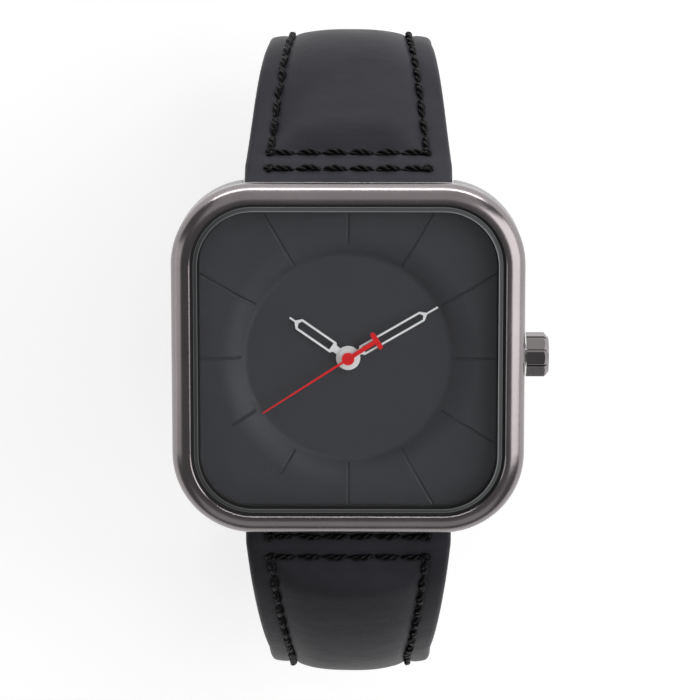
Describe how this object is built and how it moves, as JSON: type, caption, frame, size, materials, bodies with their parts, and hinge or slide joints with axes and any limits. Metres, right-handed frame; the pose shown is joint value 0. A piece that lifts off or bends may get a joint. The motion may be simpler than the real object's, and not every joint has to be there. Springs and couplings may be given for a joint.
{
  "type": "wristwatch",
  "caption": "Square analogue wristwatch with a rounded polished bezel, flat crystal, sunk dial, hands, faceted crown and a padded leather buckle strap.",
  "frame": {"origin": "centre of the case back's outer face", "axes": "+Z out of the dial, +Y towards twelve o'clock and along the strap, +X towards the crown"},
  "size_m": [0.0435, 0.0821, 0.053],
  "materials": {
    "case_steel": "satin gunmetal-coated steel",
    "bezel_steel": "polished gunmetal-coated steel",
    "crown_steel": "polished gunmetal-coated steel",
    "buckle_steel": "polished gunmetal-coated steel",
    "steel_small": "plain machined steel",
    "bridge_steel": "plated steel sheet",
    "battery_steel": "nickel-plated can",
    "core_iron": "soft iron sheet",
    "rotor_magnet": "sintered magnet",
    "wheel_brass": "stamped brass",
    "coil_copper": "enamelled copper wire",
    "crystal_glass": "flat mineral crystal with a chamfered edge",
    "dial_paint": "matt charcoal lacquer",
    "hand_silver": "silvered metal",
    "second_red": "bright red lacquer",
    "gasket_rubber": "black sealing rubber",
    "wheel_plastic": "moulded wheel",
    "plate_plastic": "moulded main plate",
    "holder_plastic": "moulded ring",
    "board_green": "circuit board",
    "strap_leather": "smooth black leather with a soft sheen",
    "lining_leather": "fine matt lining leather",
    "padding_felt": "pressed felt filling",
    "thread_black": "thick waxed twisted thread"
  },
  "bodies": {
    "head": {"case_middle": "case_steel", "case_back": "case_steel", "case_back_screws": "steel_small", "case_back_gasket": "gasket_rubber", "bezel": "bezel_steel", "crystal_gasket": "gasket_rubber", "crystal": "crystal_glass", "dial": "dial_paint", "dial_washer": "wheel_brass", "main_plate": "plate_plastic", "train_bridge": "bridge_steel", "bridge_screws": "steel_small", "movement_holder": "holder_plastic", "battery": "battery_steel", "battery_clamp": "steel_small", "coil_core": "core_iron", "coil_winding": "coil_copper", "stator": "core_iron", "circuit_board": "board_green", "quartz_resonator": "battery_steel", "crown_tube": "steel_small", "spring_bar_12": "steel_small", "spring_bar_6": "steel_small"},
    "seconds": {"second_hand": "second_red", "seconds_wheel": "wheel_brass"},
    "minutes": {"minute_hand": "hand_silver", "cannon_pinion": "steel_small"},
    "hours": {"hour_hand": "hand_silver", "hour_wheel": "wheel_brass"},
    "minute_wheel": {"minute_wheel": "wheel_brass"},
    "centre_wheel": {"centre_wheel": "wheel_brass"},
    "third_wheel": {"third_wheel": "wheel_brass"},
    "fifth_wheel": {"fifth_wheel": "wheel_plastic"},
    "rotor": {"rotor": "rotor_magnet"},
    "crown_seal": {"crown_gasket": "gasket_rubber"},
    "crown": {"crown": "crown_steel", "winding_stem": "steel_small"},
    "sliding_pinion": {"sliding_pinion": "steel_small"},
    "setting_lever": {"setting_lever": "steel_small"},
    "strap_12": {"strap_12_cover": "strap_leather", "strap_12_padding": "padding_felt", "strap_12_lining": "lining_leather", "strap_12_stitching": "thread_black", "fixed_keeper": "strap_leather", "buckle_bar": "steel_small"},
    "free_keeper": {"free_keeper": "strap_leather"},
    "buckle_frame": {"buckle_frame": "buckle_steel"},
    "buckle_tongue": {"buckle_tongue": "buckle_steel"},
    "strap_6": {"strap_6_cover": "strap_leather", "strap_6_padding": "padding_felt", "strap_6_lining": "lining_leather", "strap_6_stitching": "thread_black"}
  },
  "joints": [
    {"name": "second_hand_spin", "type": "hinge", "parent": "head", "child": "seconds", "pos_m": [0, 0, 0.0062], "axis": [0, 0, -1], "continuous": true},
    {"name": "minute_hand_spin", "type": "hinge", "parent": "head", "child": "minutes", "pos_m": [0, 0, 0.0058], "axis": [0, 0, -1], "continuous": true},
    {"name": "hour_hand_spin", "type": "hinge", "parent": "head", "child": "hours", "pos_m": [0, 0, 0.0054], "axis": [0, 0, -1], "continuous": true},
    {"name": "minute_wheel_spin", "type": "hinge", "parent": "head", "child": "minute_wheel", "pos_m": [-0.00208, 0.0012, 0.004], "axis": [0, 0, -1], "continuous": true},
    {"name": "centre_wheel_spin", "type": "hinge", "parent": "head", "child": "centre_wheel", "pos_m": [0, 0, 0.0029], "axis": [0, 0, -1], "continuous": true},
    {"name": "third_wheel_spin", "type": "hinge", "parent": "head", "child": "third_wheel", "pos_m": [-0.00099, -0.00273, 0.0024], "axis": [0, 0, -1], "continuous": true},
    {"name": "fifth_wheel_spin", "type": "hinge", "parent": "head", "child": "fifth_wheel", "pos_m": [0.00105, 0.00182, 0.0025], "axis": [0, 0, -1], "continuous": true},
    {"name": "rotor_spin", "type": "hinge", "parent": "head", "child": "rotor", "pos_m": [0.00229, 0.00286, 0.0029], "axis": [0, 0, -1], "continuous": true},
    {"name": "crown_pull", "type": "slide", "parent": "head", "child": "crown_seal", "axis": [1, 0, 0], "range_m": [0, 0.001]},
    {"name": "crown_spin", "type": "hinge", "parent": "crown_seal", "child": "crown", "pos_m": [0.022, 0, 0.0034], "axis": [1, 0, 0], "continuous": true},
    {"name": "sliding_pinion_slide", "type": "slide", "parent": "head", "child": "sliding_pinion", "axis": [1, 0, 0], "range_m": [-0.00061, 0]},
    {"name": "setting_lever_turn", "type": "hinge", "parent": "head", "child": "setting_lever", "pos_m": [0.00725, -0.0022, 0.0028], "axis": [0, 0, 1], "range_deg": [-27, 0]},
    {"name": "strap_12_swing", "type": "hinge", "parent": "head", "child": "strap_12", "pos_m": [0, 0.0183, 0.0033], "axis": [1, 0, 0], "range_deg": [0, 50]},
    {"name": "strap_6_swing", "type": "hinge", "parent": "head", "child": "strap_6", "pos_m": [0, -0.0183, 0.0033], "axis": [1, 0, 0], "range_deg": [-6, 3]},
    {"name": "free_keeper_slide", "type": "slide", "parent": "strap_12", "child": "free_keeper", "axis": [0, 1, 0], "range_m": [-0.0008, 0.0022]},
    {"name": "buckle_swing", "type": "hinge", "parent": "strap_12", "child": "buckle_frame", "pos_m": [0, -0.0016, -0.03891], "axis": [1, 0, 0], "range_deg": [0, 45]},
    {"name": "tongue_swing", "type": "hinge", "parent": "buckle_frame", "child": "buckle_tongue", "pos_m": [0, -0.0016, -0.03891], "axis": [1, 0, 0], "range_deg": [0, 65]}
  ],
  "couplings": [
    {"joint": "fifth_wheel_spin", "follows": "second_hand_spin", "ratio": -6},
    {"joint": "rotor_spin", "follows": "second_hand_spin", "ratio": 30},
    {"joint": "third_wheel_spin", "follows": "second_hand_spin", "ratio": -0.13333},
    {"joint": "centre_wheel_spin", "follows": "second_hand_spin", "ratio": 0.016667},
    {"joint": "minute_wheel_spin", "follows": "minute_hand_spin", "ratio": -0.33333},
    {"joint": "hour_hand_spin", "follows": "minute_hand_spin", "ratio": 0.083333},
    {"joint": "sliding_pinion_slide", "follows": "crown_pull", "ratio": -0.6},
    {"joint": "setting_lever_turn", "follows": "crown_pull", "rad_per_m": -460}
  ]
}
